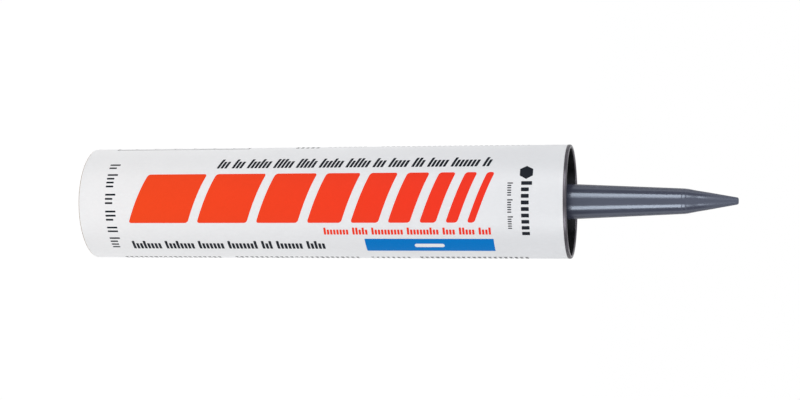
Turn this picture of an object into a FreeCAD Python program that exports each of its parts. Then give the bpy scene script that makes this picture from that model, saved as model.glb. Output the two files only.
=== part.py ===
import FreeCAD
import Part
import Sketcher
import math
import os

# A sealant cartridge for a caulking gun, standing on its open rear end with the nozzle up.
# A paper tube wears a wrapped printed label. A pressed tinplate end closes its front, and a
# moulded nozzle with a shut tip comes up through that plate from the inside. A foil disc
# seals the nozzle's root, the sealant fills the bore, and a moulded plunger closes the rear.
# +Z runs along the axis towards the tip, the origin is the centre of the rear rim, and the
# front panel of the label faces -Y. All sizes are millimetres.

SIZES = (
    ("barrel_length", "216.0", "rear rim to the top of the front seam"),
    ("tube_bore", "46.8", "inside diameter of the paper tube"),
    ("tube_wall", "1.05", "thickness of the paper wall"),
    ("label_paper", "0.15", "thickness of the printed wrap"),
    ("label_inset", "0.3", "bare paper between the rear rim and the label"),
    ("label_lap", "8.0", "width of the glued lap down the back"),
    ("tinplate", "0.25", "thickness of the end plate's sheet"),
    ("seam_depth", "1.45", "how far the plate's hem reaches down over the tube's edge"),
    ("seam_bend", "1.0", "outer bend of the hem"),
    ("rim_bend", "0.4", "bend from the hem into the countersink"),
    ("panel_bend", "0.8", "bend from the countersink into the panel"),
    ("seam_gap", "0.05", "room between the hem and the paper edge"),
    ("recess_depth", "5.0", "hem top down to the panel"),
    ("nozzle_root", "15.1", "nozzle's diameter level with the hem top"),
    ("knee_height", "48.1", "hem top up to where the steep taper starts"),
    ("knee_width", "10.68", "nozzle's diameter at the knee"),
    ("knee_blend", "28.0", "radius that rounds the knee"),
    ("nozzle_reach", "70.3", "hem top up to the shut tip"),
    ("tip_width", "2.84", "diameter of the shut tip"),
    ("tip_blend", "0.35", "radius round the tip's edge"),
    ("tip_wall", "1.5", "plastic that shuts the tip"),
    ("tip_passage", "1.2", "diameter of the passage below the tip"),
    ("nozzle_wall", "1.2", "wall of the nozzle"),
    ("flange_width", "26.0", "diameter of the flange under the panel"),
    ("flange_thick", "1.2", "thickness of that flange"),
    ("snap_ridge", "0.6", "how far the ridge above the panel stands out"),
    ("snap_height", "1.2", "height of that ridge"),
    ("hole_gap", "0.1", "room between the nozzle's neck and the panel's hole"),
    ("foil_thick", "0.1", "thickness of the sealing foil"),
    ("foil_width", "18.0", "diameter of the sealing foil"),
    ("fill_length", "180.0", "length of the column of sealant"),
    ("sealant_gap", "0.1", "room between the sealant and the bore"),
    ("plunger_height", "14.0", "plunger, front face to rear rim"),
    ("plunger_gap", "0.1", "running room between the plunger's lips and the bore"),
    ("lip_height", "1.6", "height of each wiping lip"),
    ("waist_depth", "0.6", "how far the skirt between the lips stands back"),
    ("skirt_wall", "1.2", "wall of the plunger's skirt"),
    ("face_thick", "1.6", "thickness of the plunger's face"),
    ("hub_width", "13.0", "outside diameter of the plunger's hub"),
    ("rib_thick", "1.2", "thickness of a rib and of the hub's wall"),
    ("rib_depth", "7.0", "depth of the hub and ribs behind the face"),
)
RIB_COUNT = 8

# Radii and heights that the pieces share, worked out from the sizes above.
BORE_R = "(dims.tube_bore / 2)"
TUBE_R = f"({BORE_R} + dims.tube_wall)"
LABEL_R = f"({TUBE_R} + dims.label_paper)"
HEM_TOP = "dims.barrel_length"
HEM_EDGE = f"({HEM_TOP} - dims.seam_depth)"
PANEL_TOP = f"({HEM_TOP} - dims.recess_depth)"
PANEL_UNDER = f"({PANEL_TOP} - dims.tinplate)"
HEM_BACK_R = f"({LABEL_R} - dims.tinplate)"
FLANGE_UNDER = f"({PANEL_UNDER} - dims.flange_thick)"
FOIL_UNDER = f"({FLANGE_UNDER} - dims.foil_thick)"
FACE_TOP = f"({FOIL_UNDER} - dims.fill_length)"
PLUNGER_REAR = f"({FACE_TOP} - dims.plunger_height)"
NOZZLE_SLOPE = "((dims.nozzle_root - dims.knee_width) / 2 / dims.knee_height)"
NECK_R = f"(dims.nozzle_root / 2 + {NOZZLE_SLOPE} * dims.recess_depth)"
NOZZLE_FOOT_R = f"({NECK_R} + {NOZZLE_SLOPE} * (dims.tinplate + dims.flange_thick))"

doc = FreeCAD.newDocument("cartridge")


def make_sheet():
    """Write every driving dimension into the spreadsheet, one aliased cell each."""
    sheet = doc.addObject("Spreadsheet::Sheet", "dims")
    for row, (alias, number, note) in enumerate(SIZES, start=1):
        sheet.set(f"A{row}", alias)
        sheet.set(f"B{row}", number)
        sheet.set(f"C{row}", note)
        sheet.setAlias(f"B{row}", alias)
    doc.recompute()
    return sheet


def number_of(expression):
    """The present value of an expression over the sheet, as a plain number."""
    found = dims.evalExpression(expression)
    return float(getattr(found, "Value", found))


def make_body(label):
    """An empty body whose Label becomes the name of its file."""
    body = doc.addObject("PartDesign::Body", label)
    body.Label = label
    return body


def plane_of(body, role):
    """One of the body's own origin planes."""
    return next(f for f in body.Origin.OriginFeatures if f.Role == role)


def rounded_corner(before, corner, after, bend):
    """Where an arc of radius bend, tangent to both runs of a corner, starts, ends and centres."""
    back = (before - corner).normalize()
    ahead = (after - corner).normalize()
    half_angle = back.getAngle(ahead) / 2
    setback = bend / math.tan(half_angle)
    middle = (back + ahead).normalize() * (bend / math.sin(half_angle))
    return corner + back * setback, corner + ahead * setback, corner + middle


def hold(sketch, geometry, end, x, y):
    """Tie one point of a sketch to two expressions."""
    for axis, expression in (("X", x), ("Y", y)):
        rule = Sketcher.Constraint(f"Distance{axis}", -1, 1, geometry, end, number_of(expression))
        index = sketch.addConstraint(rule)
        sketch.setExpression(f"Constraints[{index}]", expression)


def draw_outline(body, name, corners, plane="XZ_Plane"):
    """A closed outline of straight runs whose corners are held by expressions.

    A corner is (x, y) where it is sharp, and (x, y, bend) where an arc of radius bend rounds
    it. On an upright plane x is the distance from the axis and y the height.
    """
    sketch = body.newObject("Sketcher::SketchObject", name)
    sketch.AttachmentSupport = [(plane_of(body, plane), "")]
    sketch.MapMode = "FlatFace"
    points = [FreeCAD.Vector(number_of(c[0]), number_of(c[1]), 0) for c in corners]
    count = len(points)
    starts = list(points)
    ends = list(points)
    centres = [None] * count
    for i, corner in enumerate(corners):
        if len(corner) > 2:
            after = points[(i + 1) % count]
            found = rounded_corner(points[i - 1], points[i], after, number_of(corner[2]))
            ends[i], starts[i], centres[i] = found
    for i in range(count):
        run = Part.LineSegment(starts[i], ends[(i + 1) % count])
        sketch.addGeometry(run, False)
    for i, corner in enumerate(corners):
        last_run = (i - 1) % count
        if centres[i] is None:
            sketch.addConstraint(Sketcher.Constraint("Coincident", last_run, 2, i, 1))
            hold(sketch, i, 1, corner[0], corner[1])
            continue
        in_arm = ends[i] - centres[i]
        out_arm = starts[i] - centres[i]
        turns_left = in_arm.cross(out_arm).z > 0
        first_arm = in_arm if turns_left else out_arm
        last_arm = out_arm if turns_left else in_arm
        angles = [math.atan2(arm.y, arm.x) for arm in (first_arm, last_arm)]
        circle = Part.Circle(centres[i], FreeCAD.Vector(0, 0, 1), in_arm.Length)
        arc = sketch.addGeometry(Part.ArcOfCircle(circle, *angles), False)
        near_end, far_end = (1, 2) if turns_left else (2, 1)
        sketch.addConstraint(Sketcher.Constraint("Tangent", last_run, 2, arc, near_end))
        sketch.addConstraint(Sketcher.Constraint("Tangent", arc, far_end, i, 1))
        index = sketch.addConstraint(Sketcher.Constraint("Radius", arc, in_arm.Length))
        sketch.setExpression(f"Constraints[{index}]", corner[2])
        sharp = sketch.addGeometry(Part.Point(points[i]), True)
        sketch.addConstraint(Sketcher.Constraint("PointOnObject", sharp, 1, last_run))
        sketch.addConstraint(Sketcher.Constraint("PointOnObject", sharp, 1, i))
        hold(sketch, sharp, 1, corner[0], corner[1])
    return sketch


def turn(body, sketch, name, angle=None):
    """Revolve a sketch about the body's long axis, all the way round or by an angle."""
    feature = body.newObject("PartDesign::Revolution", name)
    feature.Profile = sketch
    feature.ReferenceAxis = (sketch, ["V_Axis"])
    feature.Angle = 360
    if angle:
        feature.Midplane = True
        feature.setExpression("Angle", angle)
    doc.recompute()
    return feature


def make_tube():
    """The paper tube: cut square at the rear, pressed up into the hem at the front."""
    body = make_body("paper_tube")
    crest = f"({HEM_TOP} - dims.tinplate - dims.seam_gap)"
    neck = f"({HEM_BACK_R} - dims.seam_gap)"
    shoulder = f"({HEM_EDGE} - dims.seam_gap)"
    outline = draw_outline(
        body,
        "tube_section",
        (
            (BORE_R, "0"),
            (TUBE_R, "0"),
            (TUBE_R, shoulder),
            (neck, shoulder),
            (neck, crest, "dims.seam_bend - dims.tinplate"),
            (BORE_R, crest),
        ),
    )
    turn(body, outline, "tube_wall")
    return body


def make_label():
    """The printed wrap, with its glued lap standing one paper's thickness proud."""
    body = make_body("printed_label")
    top = f"({HEM_EDGE} - dims.seam_gap)"
    foot = "dims.label_inset"
    outline = draw_outline(
        body,
        "wrap_section",
        ((TUBE_R, foot), (LABEL_R, foot), (LABEL_R, top), (TUBE_R, top)),
    )
    turn(body, outline, "wrap")
    middle = f"({TUBE_R} + dims.label_paper / 2)"
    outer = f"({LABEL_R} + dims.label_paper)"
    lap_outline = draw_outline(
        body,
        "lap_section",
        ((middle, foot), (outer, foot), (outer, top), (middle, top)),
        plane="YZ_Plane",
    )
    turn(body, lap_outline, "lap", f"dims.label_lap / (2 * pi * {LABEL_R}) * 360")
    return body


def make_end_plate():
    """The pressed tinplate end: hem over the tube's edge, countersink wall, flat panel."""
    body = make_body("front_end_plate")
    wall_r = f"({BORE_R} - dims.tinplate)"
    hole_r = f"({NECK_R} + dims.hole_gap)"
    hem_under = f"({HEM_TOP} - dims.tinplate)"
    outline = draw_outline(
        body,
        "plate_section",
        (
            (LABEL_R, HEM_EDGE),
            (LABEL_R, HEM_TOP, "dims.seam_bend"),
            (wall_r, HEM_TOP, "dims.rim_bend"),
            (wall_r, PANEL_TOP, "dims.panel_bend"),
            (hole_r, PANEL_TOP),
            (hole_r, PANEL_UNDER),
            (BORE_R, PANEL_UNDER, "dims.panel_bend + dims.tinplate"),
            (BORE_R, hem_under, "dims.rim_bend - dims.tinplate"),
            (HEM_BACK_R, hem_under, "dims.seam_bend - dims.tinplate"),
            (HEM_BACK_R, HEM_EDGE),
        ),
    )
    turn(body, outline, "plate")
    return body


def make_nozzle():
    """The moulded nozzle: flange inside, neck and snap ridge, long taper, knee, shut tip."""
    body = make_body("nozzle")
    knee_r = "(dims.knee_width / 2)"
    knee_z = f"({HEM_TOP} + dims.knee_height)"
    tip_r = "(dims.tip_width / 2)"
    tip_z = f"({HEM_TOP} + dims.nozzle_reach)"
    ridge_r = f"({NECK_R} + dims.snap_ridge)"
    ridge_z = f"({PANEL_TOP} + dims.hole_gap)"
    ridge_top = f"({ridge_z} + dims.snap_height)"
    above_ridge_r = f"({NECK_R} - {NOZZLE_SLOPE} * (dims.hole_gap + dims.snap_height))"
    passage_r = "(dims.tip_passage / 2)"
    outline = draw_outline(
        body,
        "nozzle_section",
        (
            (f"({NOZZLE_FOOT_R} - dims.nozzle_wall)", FLANGE_UNDER),
            ("(dims.flange_width / 2)", FLANGE_UNDER),
            ("(dims.flange_width / 2)", PANEL_UNDER),
            (NECK_R, PANEL_UNDER),
            (NECK_R, ridge_z),
            (ridge_r, ridge_z),
            (above_ridge_r, ridge_top),
            (knee_r, knee_z, "dims.knee_blend"),
            (tip_r, tip_z, "dims.tip_blend"),
            ("0", tip_z),
            ("0", f"({tip_z} - dims.tip_wall)"),
            (passage_r, f"({tip_z} - dims.tip_wall)"),
            (f"({knee_r} - dims.nozzle_wall)", knee_z),
        ),
    )
    turn(body, outline, "taper")
    return body


def make_plunger():
    """The moulded plunger: a cup open to the rear, two wiping lips, hub and radial ribs."""
    body = make_body("plunger")
    lip_r = f"({BORE_R} - dims.plunger_gap)"
    waist_r = f"({lip_r} - dims.waist_depth)"
    skirt_r = f"({waist_r} - dims.skirt_wall)"
    hub_r = "(dims.hub_width / 2)"
    core_r = f"({hub_r} - dims.rib_thick)"
    face_under = f"({FACE_TOP} - dims.face_thick)"
    rib_foot = f"({face_under} - dims.rib_depth)"
    front_lip = f"({FACE_TOP} - dims.lip_height)"
    rear_lip = f"({PLUNGER_REAR} + dims.lip_height)"
    outline = draw_outline(
        body,
        "plunger_section",
        (
            ("0", FACE_TOP),
            (lip_r, FACE_TOP),
            (lip_r, front_lip),
            (waist_r, f"({front_lip} - dims.waist_depth)"),
            (waist_r, f"({rear_lip} + dims.waist_depth)"),
            (lip_r, rear_lip),
            (lip_r, PLUNGER_REAR),
            (skirt_r, PLUNGER_REAR),
            (skirt_r, face_under),
            (hub_r, face_under),
            (hub_r, rib_foot),
            (core_r, rib_foot),
            (core_r, face_under),
            ("0", face_under),
        ),
    )
    turn(body, outline, "cup")
    inner_end = f"({hub_r} - dims.rib_thick / 2)"
    outer_end = f"({skirt_r} + dims.skirt_wall / 2)"
    half = "(dims.rib_thick / 2)"
    rib_outline = draw_outline(
        body,
        "rib_section",
        (
            (inner_end, f"-{half}"),
            (outer_end, f"-{half}"),
            (outer_end, half),
            (inner_end, half),
        ),
        plane="XY_Plane",
    )
    rib_outline.setExpression("AttachmentOffset.Base.z", rib_foot)
    rib = body.newObject("PartDesign::Pad", "rib")
    rib.Profile = rib_outline
    rib.setExpression("Length", "dims.rib_depth + dims.face_thick / 2")
    doc.recompute()
    ribs = body.newObject("PartDesign::PolarPattern", "ribs")
    ribs.Originals = [rib]
    ribs.Axis = (rib_outline, ["N_Axis"])
    ribs.Angle = 360
    ribs.Occurrences = RIB_COUNT
    body.Tip = ribs
    return body


def make_disc(label, radius, height, floor):
    """A plain round solid on the axis."""
    disc = doc.addObject("Part::Cylinder", label)
    disc.Label = label
    disc.setExpression("Radius", radius)
    disc.setExpression("Height", height)
    disc.setExpression("Placement.Base.z", floor)
    return disc


def write_parts(pieces):
    """Check every object, then write each piece's solid to its own file."""
    doc.recompute()
    for thing in doc.Objects:
        if "Invalid" in thing.State or "Error" in thing.State:
            raise RuntimeError(f"{thing.Name} did not compute: {thing.State}")
    for piece in pieces:
        shape = piece.Shape
        if shape.isNull() or not shape.isValid() or not shape.Solids:
            raise RuntimeError(f"{piece.Label} has no valid solid")
    os.makedirs("parts", exist_ok=True)
    for piece in pieces:
        piece.Shape.exportStep(f"parts/{piece.Label}.step")
        print(piece.Label, round(piece.Shape.Volume, 1), "mm3", piece.Shape.BoundBox)


dims = make_sheet()
write_parts(
    (
        make_tube(),
        make_label(),
        make_end_plate(),
        make_nozzle(),
        make_disc("foil_seal", "dims.foil_width / 2", "dims.foil_thick", FOIL_UNDER),
        make_disc("sealant", f"{BORE_R} - dims.sealant_gap", "dims.fill_length", FACE_TOP),
        make_plunger(),
    )
)
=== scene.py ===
"""The looks of a sealant cartridge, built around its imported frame.

The cartridge stands on its open rear end with its nozzle up and the front panel of its label
facing -Y. The camera is rolled by a quarter turn, so the picture shows it lying along the
frame with the nozzle to the right. Meshes are in metres in the frame's own axes. Sizes of the
pieces are in millimetres, and those of the finishes and of the studio are in metres.
"""

import logging
import math
from dataclasses import dataclass
from enum import Enum
from typing import NamedTuple

import bpy
import numpy as np
from mathutils import Matrix, Vector


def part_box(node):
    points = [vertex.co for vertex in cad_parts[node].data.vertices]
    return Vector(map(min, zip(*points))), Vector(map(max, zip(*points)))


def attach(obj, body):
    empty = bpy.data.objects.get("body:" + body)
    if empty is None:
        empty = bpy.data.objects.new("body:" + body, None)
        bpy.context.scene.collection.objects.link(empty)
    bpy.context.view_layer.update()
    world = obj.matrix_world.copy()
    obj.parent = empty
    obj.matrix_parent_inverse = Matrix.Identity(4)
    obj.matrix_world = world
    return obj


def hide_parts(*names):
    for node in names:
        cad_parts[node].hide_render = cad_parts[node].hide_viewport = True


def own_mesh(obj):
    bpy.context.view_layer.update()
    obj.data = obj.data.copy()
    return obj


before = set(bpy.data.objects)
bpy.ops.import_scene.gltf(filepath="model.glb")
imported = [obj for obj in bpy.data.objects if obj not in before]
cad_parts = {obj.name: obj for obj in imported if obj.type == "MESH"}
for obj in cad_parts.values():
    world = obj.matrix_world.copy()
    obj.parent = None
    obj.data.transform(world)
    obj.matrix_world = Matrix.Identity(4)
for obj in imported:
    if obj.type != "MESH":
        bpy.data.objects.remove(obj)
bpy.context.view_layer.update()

MM = 0.001
TURN = 2.0 * math.pi
STRAIGHT = 1e-6
SHARP_EDGE = math.radians(40.0)
NO_TRIANGLES = np.zeros((0, 3), int)
UP = np.array([0.0, 0.0, 1.0])

log = logging.getLogger("cartridge")

Pair = tuple[float, float]
Triple = tuple[float, float, float]
Colour = Triple
Socket = bpy.types.NodeSocket
Feed = Socket | float | Colour


class Slot(Enum):
    """The record's material slots."""

    PAPER_TUBE = "paper_tube"
    LABEL = "printed_label"
    TINPLATE = "tinplate"
    NOZZLE = "nozzle_plastic"
    SEALANT = "sealant"
    PLUNGER = "plunger_plastic"


class Body(Enum):
    """The frame's moving bodies."""

    BARREL = "barrel"
    PLUNGER = "plunger"


class Ink(Enum):
    """The printing inks, by what they print."""

    ORANGE = "orange"
    NAVY = "navy"
    BLUE = "blue"
    WHITE = "white"


class Course(Enum):
    """Which way a printed run goes on the label."""

    ALONG_BARREL = "along"
    ROUND_BARREL = "round"


class Span(NamedTuple):
    """A node's outer radius, foot and top at rest, in millimetres."""

    radius: float
    foot: float
    top: float


def span_of(node: str) -> Span:
    """Read a node's box from the frame."""
    low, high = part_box(node)
    return Span(high.x / MM, low.z / MM, high.z / MM)


TUBE, LABEL, PLATE = span_of("paper_tube"), span_of("printed_label"), span_of("front_end_plate")
NOZZLE, PASTE, CUP = span_of("nozzle"), span_of("sealant"), span_of("plunger")


# Shapes worked out as arrays


@dataclass
class Outline:
    """A profile in the plane of the axis, in metres: points and outward normals.

    Both are (radius, height). The profile runs counter-clockwise round the solid.
    """

    points: np.ndarray
    normals: np.ndarray
    closed: bool = False

    def middles(self) -> np.ndarray:
        """The middle of each run from one point to the next, in millimetres."""
        return (self.points + np.roll(self.points, -1, axis=0)) / 2 / MM


@dataclass
class Shell:
    """One mesh as arrays, with exact normals and a material number per quad where it has them."""

    vertices: np.ndarray
    quads: np.ndarray
    triangles: np.ndarray
    normals: np.ndarray | None = None
    quad_materials: np.ndarray | None = None


def round_corners(corners: list[Triple], closed: bool, steps: int = 7) -> Outline:
    """Turn a counter-clockwise run of corners into a smooth profile.

    Each corner is (radius, height, bend). The arc of a corner touches both of its runs, starts
    bend times tan(half the turn) before the corner, and turns by equal angles from one run's
    normal to the next run's, so the normals are exact at every point.

    Args:
        corners: the corners, in order, in millimetres. An open profile starts and ends on the
            axis, and a corner with no bend is left sharp.
        closed: whether the last corner joins the first.
        steps: how many spans an arc has.

    Returns:
        The profile.
    """
    table = np.array(corners, float) * MM
    sharp, bends = table[:, :2], table[:, 2]
    before, after = np.roll(sharp, 1, axis=0), np.roll(sharp, -1, axis=0)
    if not closed:
        before[0] = 2.0 * sharp[0] - after[0]
        after[-1] = 2.0 * sharp[-1] - before[-1]
    run_in = (sharp - before) / np.linalg.norm(sharp - before, axis=1)[:, None]
    run_out = (after - sharp) / np.linalg.norm(after - sharp, axis=1)[:, None]
    normal_in = np.stack([run_in[:, 1], -run_in[:, 0]], axis=1)
    cross = run_in[:, 0] * run_out[:, 1] - run_in[:, 1] * run_out[:, 0]
    turn = np.arctan2(cross, np.sum(run_in * run_out, axis=1))
    share = np.linspace(0.0, 1.0, steps + 1)[:, None]
    points = []
    normals = []
    for i in range(len(sharp)):
        if bends[i] <= 0.0 or abs(turn[i]) < STRAIGHT:
            points.append(sharp[i : i + 1])
            normals.append(normal_in[i : i + 1])
            continue
        reach = math.copysign(bends[i], turn[i])
        start = sharp[i] - run_in[i] * bends[i] * math.tan(abs(turn[i]) / 2)
        quarter = np.array([-normal_in[i, 1], normal_in[i, 0]])
        arc = normal_in[i] * np.cos(share * turn[i]) + quarter * np.sin(share * turn[i])
        points.append(start + (arc - normal_in[i]) * reach)
        normals.append(arc)
    return Outline(np.concatenate(points), np.concatenate(normals), closed)


def smooth_step(value: np.ndarray) -> np.ndarray:
    """Ease from 0 to 1: three times the square less twice the cube, held at both ends."""
    held = np.clip(value, 0.0, 1.0)
    return held * held * (3.0 - 2.0 * held)


def facing(turn: np.ndarray) -> np.ndarray:
    """The level unit vectors at turns in radians from the front, -Y, towards -X."""
    return np.stack([-np.sin(turn), -np.cos(turn), np.zeros_like(turn)], axis=-1)


def grid_quads(rows: int, columns: int, wrap_rows: bool, wrap_columns: bool) -> np.ndarray:
    """Number the quads between the rows and columns of a grid whose points run row by row.

    Args:
        rows: how many rows of points there are.
        columns: how many columns of points there are.
        wrap_rows: whether the last row joins the first.
        wrap_columns: whether the last column joins the first.

    Returns:
        An array with four point numbers for each quad.
    """
    row = np.arange(rows if wrap_rows else rows - 1)[:, None]
    column = np.arange(columns if wrap_columns else columns - 1)[None, :]
    here, ahead = row * columns, (row + 1) % rows * columns
    onward = (column + 1) % columns
    corners = np.broadcast_arrays(here + column, ahead + column, ahead + onward, here + onward)
    return np.stack(corners, axis=-1).reshape(-1, 4)


def fan(hub: int, first: int, columns: int, turned: bool = False) -> np.ndarray:
    """Number the triangles between a hub and a ring of points round it.

    Args:
        hub: the hub's point number.
        first: the ring's first point number.
        columns: how many points the ring has.
        turned: whether the triangles run against the ring.

    Returns:
        An array with three point numbers for each triangle.
    """
    around = first + np.arange(columns)
    pair = [around, np.roll(around, -1)]
    return np.stack([np.full(columns, hub), *(pair[::-1] if turned else pair)], axis=1)


def revolve(outline: Outline, columns: int, row_materials: np.ndarray | None = None) -> Shell:
    """Carry a profile once round the Z axis.

    A point at (radius, height) and turn angle a lies at (radius sin a, -radius cos a,
    height), so a turn of 0 faces -Y. Each end of an open profile lies on the axis and becomes
    one point with a fan of triangles. The first of them faces down and the last faces up.

    Args:
        outline: the profile.
        columns: how many steps the turn has.
        row_materials: the material number of each run between profile points.

    Returns:
        The closed shell.
    """
    level = facing(-np.arange(columns) * TURN / columns)
    rings = slice(None) if outline.closed else slice(1, -1)
    vertices, normals = (
        (part[rings, None, :1] * level + part[rings, None, 1:] * UP).reshape(-1, 3)
        for part in (outline.points, outline.normals)
    )
    rows = len(vertices) // columns
    triangles = NO_TRIANGLES
    if not outline.closed:
        hub = len(vertices)
        triangles = np.vstack([fan(hub, 0, columns, True), fan(hub + 1, hub - columns, columns)])
        vertices = np.vstack([vertices, outline.points[0, 1] * UP, outline.points[-1, 1] * UP])
        normals = np.vstack([normals, -UP, UP])
    quads = grid_quads(rows, columns, outline.closed, True)[:, ::-1]
    materials = None if row_materials is None else np.repeat(row_materials, columns)
    return Shell(vertices, quads, triangles, normals, materials)


def merge(shells: list[Shell]) -> Shell:
    """Join shells into one, with their point numbers moved up in turn.

    Args:
        shells: the shells, all with exact normals.

    Returns:
        The one shell.
    """
    starts = np.cumsum([0] + [len(shell.vertices) for shell in shells[:-1]])
    return Shell(
        np.concatenate([shell.vertices for shell in shells]),
        np.concatenate([shell.quads + start for shell, start in zip(shells, starts)]),
        np.concatenate([shell.triangles + start for shell, start in zip(shells, starts)]),
        np.concatenate([shell.normals for shell in shells]),
    )


def make_piece(name: str, shell: Shell, *finishes: bpy.types.Material) -> bpy.types.Object:
    """Make one smooth object at the origin from a shell.

    Args:
        name: the piece's name.
        shell: its mesh. Where it has no exact normals, its sharp edges are kept sharp.
        finishes: its materials, in the order of the shell's material numbers.

    Returns:
        The new object, linked to the scene.
    """
    mesh = bpy.data.meshes.new(name)
    mesh.from_pydata(shell.vertices.tolist(), [], shell.quads.tolist() + shell.triangles.tolist())
    for finish in finishes:
        mesh.materials.append(finish)
    if shell.quad_materials is not None:
        numbers = np.zeros(len(mesh.polygons), np.int32)
        numbers[: len(shell.quads)] = shell.quad_materials
        mesh.polygons.foreach_set("material_index", numbers)
    mesh.shade_smooth()
    mesh.validate()
    mesh.update()
    if shell.normals is None:
        mesh.set_sharp_from_angle(angle=SHARP_EDGE)
    else:
        mesh.normals_split_custom_set_from_vertices(shell.normals.tolist())
    piece = bpy.data.objects.new(name, mesh)
    bpy.context.scene.collection.objects.link(piece)
    return piece


def seat(piece: bpy.types.Object, body: Body, slot: Slot, *nodes: str) -> None:
    """Ride a piece on its body and let it stand for its nodes.

    Args:
        piece: the piece.
        body: the body that carries it.
        slot: the material slot that its finish belongs to; not used.
        nodes: the nodes that it replaces.
    """
    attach(piece, body.value)
    if nodes:
        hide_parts(*nodes)
    log.info("%s rides on %s: %d faces", piece.name, body.value, len(piece.data.polygons))


# Finishes

# Spans of a noise's values that a finish turns into a share from 0 to 1.
BROAD = (0.3, 0.7)
MIDDLE = (0.35, 0.65)
CLOSE = (0.32, 0.68)
WHOLE = (0.0, 1.0)


def dimmed(colour: Colour, factor: float) -> Colour:
    """A colour made darker or lighter by one factor."""
    return tuple(min(1.0, part * factor) for part in colour)


class NodeBench:
    """A node tree and short ways to add to it."""

    def __init__(self, tree: bpy.types.NodeTree) -> None:
        """Take a tree and empty it."""
        self.tree = tree
        self.tree.nodes.clear()

    def feed(self, socket: Socket, value: Feed) -> None:
        """Link a socket to another, or set its value, where a colour gets an alpha of 1."""
        if isinstance(value, Socket):
            self.tree.links.new(value, socket)
        else:
            socket.default_value = (*value, 1.0) if socket.type == "RGBA" else value

    def add(self, kind: str, inputs: dict[str | int, Feed], **settings: str) -> bpy.types.Node:
        """Add a node.

        Args:
            kind: the node's type, without the start that all types share.
            inputs: what feeds each input.
            settings: properties of the node itself.

        Returns:
            The node.
        """
        node = self.tree.nodes.new(f"ShaderNode{kind}")
        for name, setting in settings.items():
            setattr(node, name, setting)
        for name, value in inputs.items():
            self.feed(node.inputs[name], value)
        return node

    def maths(self, operation: str, *terms: Feed) -> Socket:
        """A Math node of sockets and plain numbers."""
        return self.add("Math", dict(enumerate(terms)), operation=operation).outputs[0]

    def seen_directly(self) -> Socket:
        """1 for rays from the camera, from gloss or through glass, and 0 for the rest."""
        path = self.add("LightPath", {}).outputs
        gloss = self.maths("MAXIMUM", path["Is Glossy Ray"], path["Is Transmission Ray"])
        return self.maths("MAXIMUM", path["Is Camera Ray"], gloss)


class Bench(NodeBench):
    """A new material with a Principled shader. All its patterns read Object coordinates."""

    def __init__(self, name: str) -> None:
        """Start a material that holds only the shader and its output."""
        self.material = bpy.data.materials.new(name)
        self.material.use_nodes = True
        super().__init__(self.material.node_tree)
        self.shader = self.add("BsdfPrincipled", {})
        self.output = self.add("OutputMaterial", {"Surface": self.shader.outputs[0]})

    def settle(self, **feeds: Feed) -> None:
        """Feed the shader's own sockets; an underscore in a name stands for a space."""
        for name, value in feeds.items():
            self.feed(self.shader.inputs[name.replace("_", " ")], value)

    def place(self, stretch: Triple = (1.0, 1.0, 1.0)) -> Socket:
        """Object coordinates in metres, stretched along each axis."""
        here = self.add("TexCoord", {}).outputs["Object"]
        return self.add("Mapping", {"Vector": here, "Scale": stretch}).outputs["Vector"]

    def noise(self, scale: float, detail: float, stretch: Triple = (1.0, 1.0, 1.0),
              roughness: float = 0.55) -> Socket:
        """A fractal noise whose features are about 1 / scale metres across."""
        return self.add("TexNoise", {"Vector": self.place(stretch), "Scale": scale, "Detail": detail,
                                     "Roughness": roughness}).outputs["Fac"]

    def spread(self, value: Socket, span: Pair, result: Pair = WHOLE) -> Socket:
        """Map a value from a span onto a result, held at both ends."""
        ends = {"From Min": span[0], "From Max": span[1], "To Min": result[0], "To Max": result[1]}
        return self.add("MapRange", {"Value": value, **ends}).outputs["Result"]

    def mix(self, share: Socket, first: Feed, second: Feed) -> Socket:
        """A colour between two, by a share from 0 to 1."""
        return self.add("Mix", {"Factor": share, 6: first, 7: second}, data_type="RGBA").outputs[2]

    def mottled(self, value: Socket, span: Pair, colour: Colour, shades: Pair) -> Socket:
        """A colour that runs from one shade of it to another as a value crosses a span."""
        return self.mix(self.spread(value, span), *(dimmed(colour, shade) for shade in shades))

    def weigh(self, first: Socket, second: Socket, share: float) -> Socket:
        """The first value's share and the rest of the second."""
        return self.maths("MULTIPLY_ADD", first, share, self.maths("MULTIPLY", second, 1.0 - share))

    def height(self) -> Socket:
        """The height above the rear rim, in metres."""
        return self.add("SeparateXYZ", {0: self.place()}).outputs["Z"]

    def radius(self) -> Socket:
        """The distance from the Z axis, in metres."""
        flat = self.place((1.0, 1.0, 0.0))
        return self.add("VectorMath", {0: flat}, operation="LENGTH").outputs["Value"]

    def helix(self, pitch: float) -> Socket:
        """Measure the distance from a helical seam as a share of its pitch.

        The height over the pitch plus the turn's share is whole along the seam, and the
        distance to the nearest whole number is the answer.

        Args:
            pitch: how far the seam rises in one turn.

        Returns:
            The share, from 0 to 0.5.
        """
        split = self.add("SeparateXYZ", {0: self.place()}).outputs
        turned = self.maths("DIVIDE", self.maths("ARCTAN2", split["Y"], split["X"]), TURN)
        return self.maths("PINGPONG", self.maths("MULTIPLY_ADD", split["Z"], 1.0 / pitch, turned), 0.5)

    def bump(self, height: Socket, depth: float, strength: float) -> None:
        """Add a relief of the given depth on top of any that is there."""
        own = self.shader.inputs["Normal"]
        under = {"Normal": own.links[0].from_socket} if own.is_linked else {}
        relief = self.add("Bump", {"Height": height, "Distance": depth, "Strength": strength, **under})
        self.feed(own, relief.outputs["Normal"])


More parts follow.
